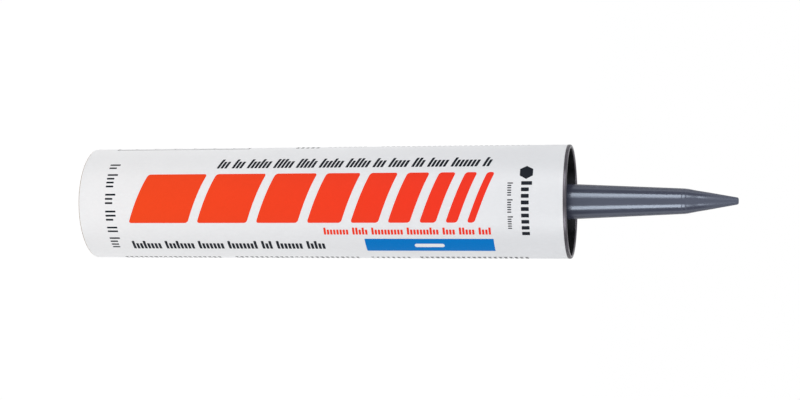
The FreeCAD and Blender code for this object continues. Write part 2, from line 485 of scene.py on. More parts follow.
@dataclass(frozen=True)
class LabelPaper:
    """Coated white paper over a spiral-wound tube, whose seams show as a faint relief.

    Its tone runs from the lighter rear white at the barrel's foot to the darker, bluer front white at
    its top: a painted shade, where the light falls weaker on the top of the barrel.
    """

    # rear and front are the two ends of a painted shade: the white as lit at the foot and as shaded at the
    # top.
    rear: Colour = (0.86, 0.86, 0.866)
    front: Colour = (0.745, 0.754, 0.775)
    run: Pair = (0.01, 0.20)
    shades: Pair = (0.975, 1.012)
    seam_pitch: float = 0.085
    seam_width: Pair = (0.0, 0.02)

    def material(self) -> bpy.types.Material:
        """Build the paper's material."""
        bench = Bench("coated_label_paper")
        fibres = bench.noise(scale=900.0, detail=4.0, stretch=(1.0, 1.0, 0.6))
        clouds = bench.noise(scale=28.0, detail=2.0)
        # Painted shade: the white darkens with the height over run.
        run = bench.spread(bench.height(), self.run)
        painted_shade_tones = [bench.mix(run, dimmed(self.rear, shade), dimmed(self.front, shade)) for shade in self.shades]
        share = bench.spread(bench.weigh(fibres, clouds, share=0.5), MIDDLE)
        bench.settle(Base_Color=bench.mix(share, *painted_shade_tones), Roughness=bench.spread(fibres, BROAD, (0.36, 0.46)),
                     Specular_IOR_Level=0.4, Coat_Weight=0.12, Coat_Roughness=0.3)
        bench.bump(bench.spread(bench.helix(self.seam_pitch), self.seam_width), depth=0.00004, strength=0.35)
        bench.bump(fibres, depth=0.00001, strength=0.35)
        return bench.material


@dataclass(frozen=True)
class PrintInk:
    """Offset ink on the label, with a slight mottle where the paper drinks it.

    The ink runs from its rear colour at the barrel's foot to its front colour at the top.
    """

    name: str
    rear: Colour
    front: Colour
    mottle: float = 0.1
    run: Pair = (0.0216, 0.1836)
    worn_shade: float = 0.55

    def material(self) -> bpy.types.Material:
        """Build the ink's material."""
        bench = Bench(self.name)
        grain = bench.noise(scale=1400.0, detail=2.0)
        clouds = bench.noise(scale=60.0, detail=2.0, stretch=(1.0, 1.0, 0.5))
        worn = bench.spread(bench.weigh(grain, clouds, share=0.6), BROAD, (self.mottle, 0.0))
        plain = bench.mix(bench.spread(bench.height(), self.run), self.rear, self.front)
        bench.settle(Base_Color=bench.mix(worn, plain, dimmed(self.rear, self.worn_shade)),
                     Roughness=bench.spread(grain, BROAD, (0.38, 0.5)), Specular_IOR_Level=0.05)
        return bench.material


@dataclass(frozen=True)
class Tinplate:
    """Pressed tinplate with fine drawing marks round the axis and a little haze."""

    name: str = "pressed_tinplate"
    metal: Colour = (0.105, 0.098, 0.112)
    roughness: Pair = (0.26, 0.4)
    marks_per_metre: float = 9000.0

    def material(self) -> bpy.types.Material:
        """Build the metal's material."""
        bench = Bench(self.name)
        across, up = (bench.maths("MULTIPLY", way, self.marks_per_metre)
                      for way in (bench.radius(), bench.height()))
        section = bench.add("CombineXYZ", {0: across, 1: up}).outputs[0]
        marks = bench.add("TexNoise", {"Vector": section, "Scale": 1.0, "Detail": 3.0, "Roughness": 0.55})
        haze = bench.noise(scale=260.0, detail=3.0)
        bench.settle(Base_Color=bench.mottled(haze, MIDDLE, self.metal, (0.85, 1.12)), Metallic=1.0,
                     Roughness=bench.spread(haze, BROAD, self.roughness))
        bench.bump(marks.outputs["Fac"], depth=0.00001, strength=0.25)
        return bench.material


@dataclass(frozen=True)
class MouldedPlastic:
    """Injection-moulded plastic: faint flow streaks along the draw and a fine satin grain.

    It gets rougher by dulling over a run of heights. A relief is its depth and strength.
    """

    name: str
    colour: Colour
    roughness: Pair
    specular: float = 0.45
    tint: Colour = (1.0, 1.0, 1.0)
    scatter: float = 0.0
    dulling: float = 0.0
    dulling_run: Pair = WHOLE
    grain_relief: Pair = (0.000006, 0.3)
    streak_relief: Pair = (0.00002, 0.25)

    def material(self) -> bpy.types.Material:
        """Build the plastic's material."""
        bench = Bench(self.name)
        flow = bench.noise(scale=240.0, detail=3.0, stretch=(1.0, 1.0, 0.12))
        grain = bench.noise(scale=2600.0, detail=2.0)
        duller = bench.spread(bench.height(), self.dulling_run, (0.0, self.dulling))
        bench.settle(Base_Color=bench.mottled(flow, BROAD, self.colour, (0.92, 1.08)),
                     Roughness=bench.maths("ADD", bench.spread(flow, BROAD, self.roughness), duller),
                     Specular_IOR_Level=self.specular, Specular_Tint=self.tint,
                     Subsurface_Weight=self.scatter, Subsurface_Scale=0.001)
        bench.bump(grain, *self.grain_relief)
        bench.bump(flow, *self.streak_relief)
        return bench.material


@dataclass(frozen=True)
class KraftBoard:
    """The tube's lining board, with its helical butt seam and long fibres."""

    board: Colour = (0.42, 0.335, 0.245)
    seam_pitch: float = 0.085
    seam_width: Pair = (0.002, 0.007)
    seam_strength: float = 0.6
    seam_shade: float = 0.4

    def material(self) -> bpy.types.Material:
        """Build the board's material."""
        bench = Bench("kraft_lining")
        fibres = bench.noise(scale=700.0, detail=5.0, stretch=(1.0, 1.0, 0.35))
        clouds = bench.noise(scale=60.0, detail=3.0)
        plain = bench.mottled(bench.weigh(fibres, clouds, share=0.6), CLOSE, self.board, (0.82, 1.15))
        seam = bench.spread(bench.helix(self.seam_pitch), self.seam_width, (1.0, 0.0))
        share = bench.maths("MULTIPLY", seam, self.seam_strength)
        bench.settle(Base_Color=bench.mix(share, plain, dimmed(self.board, self.seam_shade)),
                     Roughness=bench.spread(fibres, BROAD, (0.6, 0.8)), Specular_IOR_Level=0.25)
        bench.bump(seam, depth=-0.0001, strength=0.5)
        bench.bump(fibres, depth=0.00003, strength=0.5)
        return bench.material


@dataclass(frozen=True)
class CutBoard:
    """The tube's cut edge, where the wound plies show as rings with a torn nap."""

    board: Colour = (0.46, 0.385, 0.30)
    plies_per_metre: float = 3800.0
    glue_width: Pair = (0.0, 0.16)
    glue_strength: float = 0.55
    glue_shade: float = 0.45

    def material(self) -> bpy.types.Material:
        """Build the cut edge's material."""
        bench = Bench("cut_board_edge")
        nap = bench.noise(scale=1500.0, detail=5.0)
        wander = bench.noise(scale=140.0, detail=2.0)
        depth = bench.maths("MULTIPLY_ADD", bench.radius(), self.plies_per_metre, wander)
        glue = bench.spread(bench.maths("PINGPONG", depth, 0.5), self.glue_width, (1.0, 0.0))
        plain = bench.mottled(nap, CLOSE, self.board, (0.8, 1.2))
        share = bench.maths("MULTIPLY", glue, self.glue_strength)
        bench.settle(Base_Color=bench.mix(share, plain, dimmed(self.board, self.glue_shade)),
                     Roughness=bench.spread(nap, BROAD, (0.75, 0.95)), Specular_IOR_Level=0.2)
        bench.bump(glue, depth=-0.00006, strength=0.7)
        bench.bump(nap, depth=0.00006, strength=0.7)
        return bench.material


@dataclass(frozen=True)
class SealantPaste:
    """Smooth white paste with the faint swirl of filling."""

    white: Colour = (0.80, 0.80, 0.775)

    def material(self) -> bpy.types.Material:
        """Build the paste's material."""
        bench = Bench("sealant_paste")
        swirl = bench.noise(scale=90.0, detail=3.0, stretch=(1.0, 1.0, 3.0))
        bench.settle(Base_Color=bench.mottled(swirl, MIDDLE, self.white, (0.96, 1.0)),
                     Roughness=bench.spread(swirl, BROAD, (0.3, 0.42)),
                     Specular_IOR_Level=0.5, Subsurface_Weight=0.15, Subsurface_Scale=0.002)
        bench.bump(swirl, depth=0.00008, strength=0.4)
        return bench.material


@dataclass(frozen=True)
class SealFoil:
    """Thin bright foil, slightly crinkled by sealing."""

    metal: Colour = (0.78, 0.78, 0.80)

    def material(self) -> bpy.types.Material:
        """Build the foil's material."""
        bench = Bench("sealing_foil")
        crinkle = bench.noise(scale=420.0, detail=4.0, roughness=0.7)
        bench.settle(Base_Color=bench.mottled(crinkle, MIDDLE, self.metal, (0.9, 1.0)), Metallic=1.0,
                     Roughness=bench.spread(crinkle, BROAD, (0.2, 0.32)))
        bench.bump(crinkle, depth=0.0001, strength=0.6)
        return bench.material


# The barrel


@dataclass(frozen=True)
class Crimp:
    """How the barrel's front is pressed in where the end plate was rolled on."""

    depth: float = 0.1
    length: float = 1.3
    bend: float = 8.0


@dataclass
class PaperTube:
    """The wound paper barrel, open at the rear, where its cut plies show."""

    wall: float = 1.05
    edge_bend: float = 0.12
    hem_room: float = 0.3
    shoulder_bend: float = 0.02
    crest_bend: float = 0.7
    lip_bend: float = 0.05
    crimp: Crimp = Crimp()
    columns: int = 192

    def build(self) -> None:
        """Make the tube, a closed profile carried round the axis, and seat it."""
        outer, inner = TUBE.radius, TUBE.radius - self.wall
        neck = LABEL.radius - self.hem_room
        outline = round_corners(
            [
                (inner, 0.0, self.edge_bend),
                (outer, 0.0, self.edge_bend),
                (outer, LABEL.top - self.crimp.length, self.crimp.bend),
                (outer - self.crimp.depth, LABEL.top, self.shoulder_bend),
                (neck, LABEL.top, self.shoulder_bend),
                (neck, TUBE.top, self.crest_bend),
                (inner, TUBE.top, self.lip_bend),
            ],
            closed=True,
        )
        at_cut = outline.middles()[:, 1] < self.edge_bend
        shell = revolve(outline, self.columns, at_cut.astype(int))
        piece = make_piece("barrel_tube", shell, KraftBoard().material(), CutBoard().material())
        seat(piece, Body.BARREL, Slot.PAPER_TUBE, "paper_tube")


@dataclass
class LabelWrap:
    """The printed paper wrapped round the tube, with its glued lap down the back."""

    first_ink: float = 0.02
    top_ink: float = 0.03
    lap_width: float = 8.0
    lap_rise: float = 0.15
    lap_ramp: float = 1.5
    edge_bend: float = 0.03
    crimp: Crimp = Crimp()
    columns: int = 360

    def surface_radius(self) -> float:
        """The paper's own radius, under the ink."""
        return LABEL.radius - self.top_ink

    def lap(self, vertices: np.ndarray) -> np.ndarray:
        """Find how much of the lap's rise stands at each vertex.

        The lap steps up at its cut edge, on the +X side, and runs back down by a smooth step
        on the other side, where the upper layer leaves the lower.

        Args:
            vertices: the points.

        Returns:
            A share from 0 to 1 for each.
        """
        angles = np.arctan2(vertices[:, 0], -vertices[:, 1])
        past = (np.abs(angles) - math.pi) * self.surface_radius() + self.lap_width / 2
        return np.where(angles > 0, (past > 0).astype(float), smooth_step(past / self.lap_ramp))

    def build(self) -> None:
        """Make the wrap, a thin closed profile carried round the axis, and seat it."""
        outer, inner = self.surface_radius(), TUBE.radius
        waist = LABEL.top - self.crimp.length
        outline = round_corners(
            [
                (inner, LABEL.foot, self.edge_bend),
                (outer, LABEL.foot, self.edge_bend),
                (outer, waist, self.crimp.bend),
                (outer - self.crimp.depth, LABEL.top, self.edge_bend),
                (inner - self.crimp.depth, LABEL.top, self.edge_bend),
                (inner, waist, self.crimp.bend),
            ],
            closed=True,
            steps=4,
        )
        shell = revolve(outline, self.columns)
        flat = shell.vertices[:, :2]
        outside = np.sum(shell.normals[:, :2] * flat, axis=1) > 0
        rise = self.lap(shell.vertices) * outside * self.lap_rise * MM
        flat *= (1.0 + rise / np.hypot(*flat.T))[:, None]
        piece = make_piece("label_wrap", shell, LabelPaper().material())
        seat(piece, Body.BARREL, Slot.LABEL, "printed_label")


# The print

# A field of ink is a row of five numbers on the flat label, in millimetres: its middle's
# height on the barrel, its middle's distance round it from the middle of the front panel,
# growing towards -X, half its length, half its breadth round the barrel, and its slant.


def wrap_fields(fields: np.ndarray, radius: float, thickness: float, corner: float = 0.0,
                corner_steps: int = 0, round_steps: int = 1) -> Shell:
    """Wrap fields of ink round the barrel as thin closed slabs.

    A field is a grid, with its rows' ends on its outline. The row at turn p of a corner, with
    p from 0 to a quarter, lies bend times (1 - sin p) in from the field's end, and is bend
    times (1 - cos p) narrower on each side. A row's points are slanted along the barrel by
    slant times y, and wrapped: round / radius is a point's turn towards -X. The slab's two
    faces lie thickness apart.

    Args:
        fields: the fields, one row each.
        radius: the slabs' inner radius, in millimetres.
        thickness: how thick the slabs are, in millimetres.
        corner: the corners' radius, in millimetres.
        corner_steps: how many spans a corner has.
        round_steps: how many spans a field has round the barrel.

    Returns:
        All the slabs as one shell.
    """
    largest_bend = 0.9
    middle, round_middle, half_along, half_round, slant = fields.T[:, :, None]
    bend = np.minimum(corner, largest_bend * np.minimum(half_along, half_round))
    quarter = np.linspace(0.0, math.pi / 2, corner_steps + 1)
    turns = np.concatenate([quarter[::-1], quarter])
    ends = np.repeat([-1.0, 1.0], corner_steps + 1)
    x = ends * (half_along - bend * (1.0 - np.sin(turns)))
    breadth = half_round - bend * (1.0 - np.cos(turns))
    y = breadth[:, :, None] * np.linspace(-1.0, 1.0, round_steps + 1)
    along = (middle + x)[:, :, None] + slant[:, :, None] * y
    angle = (round_middle[:, :, None] + y) / radius
    out = facing(angle)
    level = along[..., None] * UP
    vertices = np.stack([out * radius + level, out * (radius + thickness) + level], axis=1)
    rows, columns = len(turns), round_steps + 1
    size = rows * columns
    flat = grid_quads(rows, columns, False, False)
    numbers = np.arange(size).reshape(rows, columns)
    rim = np.concatenate([numbers[0, :-1], numbers[:-1, -1], numbers[-1, :0:-1], numbers[:0:-1, 0]])
    ahead = np.roll(rim, -1)
    walls = np.stack([rim, rim + size, ahead + size, ahead], axis=1)
    one = np.concatenate([flat[:, ::-1], flat + size, walls])
    quads = one[None, :, :] + np.arange(len(fields))[:, None, None] * 2 * size
    normals = np.stack([-out, out], axis=1).reshape(-1, 3)
    return Shell(vertices.reshape(-1, 3) * MM, quads.reshape(-1, 4), NO_TRIANGLES, normals)


@dataclass(frozen=True)
class Badge:
    """A plain hexagon of ink, placed by its height and its distance round the barrel."""

    along: float
    round: float
    size: float
    sides: int = 6
    side_steps: int = 6
    rings: int = 5

    def shell(self, radius: float, thickness: float) -> Shell:
        """Wrap the hexagon round the barrel as a thin closed slab.

        A point at a share of the way out and a turn lies that share of the hexagon's reach
        away, where the reach is cos(half a side's angle) over cos(turn from the side's
        middle). The rows go out along the lower face and back along the upper.

        Args:
            radius: the slab's inner radius, in millimetres.
            thickness: how thick the slab is, in millimetres.

        Returns:
            The slab.
        """
        columns = self.sides * self.side_steps
        half = math.pi / self.sides
        turns = np.arange(columns) * TURN / columns
        reach = self.size * math.cos(half) / np.cos(turns % (2 * half) - half)
        out = np.arange(1, self.rings + 1) / self.rings
        shares = np.concatenate([out, out[::-1], [0.0, 0.0]])[:, None]
        levels = np.repeat([radius, radius + thickness], self.rings)
        levels = np.concatenate([levels, [radius, radius + thickness]])[:, None]
        angle = (self.round + shares * reach * np.cos(turns)) / radius
        along = self.along + shares * reach * np.sin(turns)
        outward = facing(angle)
        points = outward * levels[:, :, None] + along[:, :, None] * UP
        signs = np.where(levels > radius, 1.0, -1.0)[:, :, None]
        rows = len(out) * 2
        hub = rows * columns
        kept = np.concatenate([np.arange(hub), [hub, hub + columns]])
        triangles = np.vstack([fan(hub, 0, columns), fan(hub + 1, hub - columns, columns, True)])
        return Shell(points.reshape(-1, 3)[kept] * MM, grid_quads(rows, columns, False, True), triangles,
                     (outward * signs).reshape(-1, 3)[kept])


@dataclass(frozen=True)
class TickRun:
    """A line of small print, greeked: short bars grouped into words, with no letters.

    Sizes are millimetres. A run goes along the barrel or round it from start to end, and
    its middle line lies at place on the other axis. A word has from word[0] to word[1] bars.
    """

    ink: Ink
    course: Course
    start: float
    end: float
    place: float
    height: float
    pitch: float
    weight: float
    slant: float
    word: tuple[int, int]
    seed: int
    small: float = 0.72
    tall_share: float = 0.14

    def fields(self) -> np.ndarray:
        """Work out the bars.

        The bars are all as wide, at an even pitch, and a seeded draw leaves one out at each
        word's end. A word's first bar and a few others stand as tall as capitals. The rest
        stand on the same foot at the height of small letters, all as whole arrays.

        Returns:
            The bars as fields.
        """
        draw = np.random.default_rng(self.seed)
        count = max(1, int(abs(self.end - self.start) / self.pitch))
        number = np.arange(count)
        gaps = np.cumsum(draw.integers(self.word[0], self.word[1] + 1, count) + 1) - 1
        first = (number == 0) | np.isin(number - 1, gaps)
        tall = first | (draw.random(count) < self.tall_share)
        kept = ~np.isin(number, gaps)
        spots = (self.start + (number + 0.5) * (self.end - self.start) / count)[kept]
        size = np.where(tall, 1.0, self.small)[kept]
        tallness = self.height / 2 * size
        shift = self.height / 2 * (size - 1.0)
        width = self.pitch * self.weight / 2
        if self.course is Course.ALONG_BARREL:
            row = (spots + self.slant * shift, self.place + shift, width, tallness, self.slant)
        else:
            row = (self.place + shift, spots, tallness, width, 0.0)
        return np.stack(np.broadcast_arrays(*row), axis=1)


@dataclass
class LabelPrint:
    """The label's generic print: slanted stripes, bars and greeked lines, with no lettering.

    Angles round the barrel are in degrees from the middle of the front panel, and grow
    towards -X, which is up in the picture. Heights are millimetres from the rear rim. Steps
    are how many spans a field's corner has, and a whole field round the barrel.
    """

    wrap: LabelWrap
    stripe_run: Pair = (22.8, 177.0)
    stripe_edges: Pair = (-20.7, 31.0)
    stripe_slant: float = 0.39
    stripe_shares: tuple[float, ...] = (27.0, 22.5, 18.5, 15.0, 12.0, 9.5, 7.0, 5.0, 3.2)
    stripe_gap: float = 4.2
    stripe_corner: float = 1.2
    stripe_steps: tuple[int, int] = (5, 20)
    blue_run: Pair = (128.5, 184.6)
    blue_edges: Pair = (-58.3, -39.4)
    blue_steps: tuple[int, int] = (3, 10)
    pill_half: Pair = (6.5, 1.1)
    pill_steps: tuple[int, int] = (6, 4)
    tick_corner: float = 0.22
    tick_steps: tuple[int, int] = (2, 3)
    badge_place: Pair = (199.0, 30.5)
    badge_radius: float = 3.2
    line_pitch: float = 2.3
    shortest_line: float = 0.72
    box_run: Pair = (11.0, 73.0)
    box_edges: Pair = (76.5, 150.0)
    box_line: float = 0.45
    box_steps: int = 36
    rules: int = 6
    rule_line: float = 0.3
    rule_inset: Pair = (8.0, 4.0)
    sunk: float = 0.01

    def arc(self, degrees: float) -> float:
        """The distance round the paper for an angle, in millimetres."""
        return math.radians(degrees) * self.wrap.surface_radius()

    def bar(self, start: float, end: float, low: float, high: float) -> np.ndarray:
        """One plain bar between two heights and two angles, as a field."""
        bottom, top = self.arc(low), self.arc(high)
        return np.array([[(start + end) / 2, (bottom + top) / 2, (end - start) / 2, (top - bottom) / 2, 0.0]])

    def stripes(self) -> np.ndarray:
        """Lay out the big slanted stripes of the front panel, each narrower than the last.

        Returns:
            The stripes as fields.
        """
        low, high = (self.arc(edge) for edge in self.stripe_edges)
        shares = np.array(self.stripe_shares)
        room = self.stripe_run[1] - self.stripe_run[0] - self.stripe_gap * (len(shares) - 1)
        widths = shares / shares.sum() * room
        starts = self.stripe_run[0] + np.concatenate([[0.0], np.cumsum(widths[:-1] + self.stripe_gap)])
        half = (high - low) / 2
        middles = starts + widths / 2 + self.stripe_slant * half
        row = np.broadcast_arrays(middles, (low + high) / 2, widths / 2, half, self.stripe_slant)
        return np.stack(row, axis=1)

    def frame_box(self) -> np.ndarray:
        """Lay out the thin-lined box on the upper side, with its ruled lines.

        Returns:
            The lines as fields.
        """
        (low, high), (near, far) = self.box_run, self.box_edges
        line, (from_end, from_side) = self.box_line, self.rule_inset
        thin = math.degrees(line / self.wrap.surface_radius())
        heads = np.linspace(low + from_end, high - from_end, self.rules)
        return np.concatenate([
            self.bar(low, high, near, near + thin),
            self.bar(low, high, far - thin, far),
            self.bar(low, low + line, near, far),
            self.bar(high - line, high, near, far),
            *(self.bar(z, z + self.rule_line, near + from_side, far - from_side) for z in heads),
        ])

    def pill(self) -> np.ndarray:
        """The white pill in the middle of the blue bar, as a field."""
        return np.array([[sum(self.blue_run) / 2, self.arc(sum(self.blue_edges) / 2), *self.pill_half, 0.0]])

    def front_runs(self) -> list[TickRun]:
        """Lay out the greeked lines that stand on the front panel.

        Returns:
            The lines, each with its ink, course, start, end, place, height, pitch, weight,
            slant, word lengths and seed.
        """
        along, around = Course.ALONG_BARREL, Course.ROUND_BARREL
        arc = self.arc
        return [
            TickRun(Ink.NAVY, along, 63.0, 184.0, arc(44.5), 5.6, 1.7, 0.7, 0.36, (3, 7), 11),
            TickRun(Ink.ORANGE, along, 110.8, 184.0, arc(-30.0), 3.5, 1.4, 0.7, 0.0, (4, 10), 12),
            TickRun(Ink.NAVY, along, 22.0, 110.5, arc(-48.7), 5.2, 1.7, 0.7, 0.0, (3, 8), 13),
            TickRun(Ink.NAVY, around, arc(46.0), arc(-54.0), 14.8, 4.8, 1.8, 0.46, 0.0, (2, 4), 14),
            TickRun(Ink.NAVY, around, arc(22.0), arc(-36.0), 199.3, 4.6, 2.5, 0.66, 0.0, (30, 40), 15),
            TickRun(Ink.NAVY, around, arc(20.0), arc(-28.0), 192.4, 2.4, 1.0, 0.5, 0.0, (3, 8), 16),
        ]

    def side_runs(self) -> list[TickRun]:
        """Lay out the columns of small print on the two sides, whose lines run round the barrel.

        Each column has its lowest and highest height, its near and far angle, and the height
        of its print. A seeded draw ends each line a little short of the far angle.

        Returns:
            The lines.
        """
        columns = [
            (14.0, 62.0, -76.0, -126.0, 1.5),
            (66.0, 124.0, -75.0, -160.0, 1.35),
            (128.0, 148.0, -75.0, -140.0, 1.2),
            (150.0, 200.0, -74.0, -160.0, 1.5),
            (94.0, 106.0, 77.0, 140.0, 1.35),
            (108.0, 128.0, 84.0, 140.0, 1.35),
            (132.0, 200.0, 84.0, 160.0, 1.35),
        ]
        runs = []
        for number, (low, high, near, far, height) in enumerate(columns, start=1):
            for line in range(int((high - low) / self.line_pitch)):
                seed = 100 * number + line
                draw = np.random.default_rng(seed)
                full = self.shortest_line + (1.0 - self.shortest_line) * draw.random()
                place = low + (line + 0.5) * self.line_pitch
                runs.append(TickRun(Ink.NAVY, Course.ROUND_BARREL, self.arc(near),
                                    self.arc(near + (far - near) * full), place, height,
                                    pitch=1.05, weight=0.62, slant=0.0, word=(2, 9), seed=seed))
        return runs

    def build(self) -> None:
        """Print every ink and seat it, one piece for each."""
        navy, blue, white = (0.014, 0.017, 0.024), (0.0, 0.185, 0.57), (0.82, 0.83, 0.84)
        finishes = {
            Ink.ORANGE: PrintInk("orange_red_ink", (0.905, 0.068, 0.014), (0.88, 0.036, 0.018)),
            Ink.NAVY: PrintInk("navy_ink", navy, navy),
            Ink.BLUE: PrintInk("blue_ink", blue, blue),
            Ink.WHITE: PrintInk("white_ink", white, white, mottle=0.02),
        }
        base = self.wrap.surface_radius() - self.sunk
        thick = self.wrap.first_ink + self.sunk
        thickest = self.wrap.top_ink + self.sunk
        front = {ink: [run.fields() for run in self.front_runs() if run.ink is ink] for ink in Ink}
        orange, dark = (
            wrap_fields(np.concatenate(front[ink]), base, thick, self.tick_corner, *self.tick_steps)
            for ink in (Ink.ORANGE, Ink.NAVY)
        )
        small = np.concatenate([run.fields() for run in self.side_runs()])
        badge = Badge(self.badge_place[0], self.arc(self.badge_place[1]), self.badge_radius)
        blue_bar = self.bar(*self.blue_run, *self.blue_edges)
        shells = {
            Ink.ORANGE: [
                wrap_fields(self.stripes(), base, thick, self.stripe_corner, *self.stripe_steps),
                orange,
            ],
            Ink.NAVY: [
                dark,
                wrap_fields(small, base, thick),
                wrap_fields(self.frame_box(), base, thick, round_steps=self.box_steps),
                badge.shell(base, thick),
            ],
            Ink.BLUE: [wrap_fields(blue_bar, base, thick, self.tick_corner, *self.blue_steps)],
            Ink.WHITE: [wrap_fields(self.pill(), base, thickest, self.pill_half[1], *self.pill_steps)],
        }
        for ink, parts in shells.items():
            piece = make_piece(f"print_{ink.value}", merge(parts), finishes[ink].material())
            seat(piece, Body.BARREL, Slot.LABEL)


# The front end


@dataclass
class EndPlate:
    """The pressed tinplate end: hem, countersink wall and panel with a stiffening ring."""

    sheet: float = 0.25
    hem_width: float = 1.45
    hem_depth: float = 1.45
    hem_bends: Pair = (0.03, 0.08)
    hem_flat: float = 0.01
    recess: float = 5.0
    hole_r: float = 7.88
    hole_bends: Pair = (0.08, 0.05)
    panel_bend: float = 0.8
    ring_r: float = 15.0
    ring_rise: float = 0.35
    ring_half: Pair = (1.2, 2.0)
    ring_bend: float = 0.6
    # Painted shade: inside the recess the tinplate is coloured near black, as the shade falls there. These
    # give how far past the countersink wall that dark colour reaches, and the colour itself.
    recess_shade_past: float = 0.02
    recess_shade: Colour = (0.032, 0.033, 0.036)
    columns: int = 256

    def build(self) -> None:
        """Make the plate, a sheet's closed profile carried round the axis, and seat it."""
        outer, top = LABEL.radius, PLATE.top
        wall, back = outer - self.hem_width, outer - self.sheet
        panel = top - self.recess
        under = panel - self.sheet
        roll = (self.hem_width - self.hem_flat) / 2
        crest, foot = self.ring_half
        corners = [
            (back, top - self.hem_depth, self.hem_bends[0]),
            (outer, top - self.hem_depth, self.hem_bends[1]),
            (outer, top, roll),
            (wall, top, roll),
            (wall, panel, self.panel_bend),
            (self.ring_r + foot, panel, self.panel_bend),
            (self.ring_r + crest, panel + self.ring_rise, self.ring_bend),
            (self.ring_r - crest, panel + self.ring_rise, self.ring_bend),
            (self.ring_r - foot, panel, self.panel_bend),
            (self.hole_r, panel, self.hole_bends[0]),
            (self.hole_r, under, self.hole_bends[1]),
            (wall + self.sheet, under, self.panel_bend + self.sheet),
            (wall + self.sheet, top - self.sheet, roll - self.sheet),
            (back, top - self.sheet, roll - self.sheet),
        ]
        outline = round_corners(corners, closed=True, steps=10)
        radii, heights = outline.middles().T
        # Painted shade: the runs inside the countersink wall and below the hem's roll take the near-black
        # tinplate.
        in_recess_shade = (radii < wall + self.recess_shade_past) & (heights < top - roll)
        shell = revolve(outline, self.columns, in_recess_shade.astype(int))
        recess_shade_finish = Tinplate("tinplate_painted_recess_shade", self.recess_shade, (0.34, 0.5))
        piece = make_piece("end_plate", shell, Tinplate().material(), recess_shade_finish.material())
        seat(piece, Body.BARREL, Slot.TINPLATE, "front_end_plate")


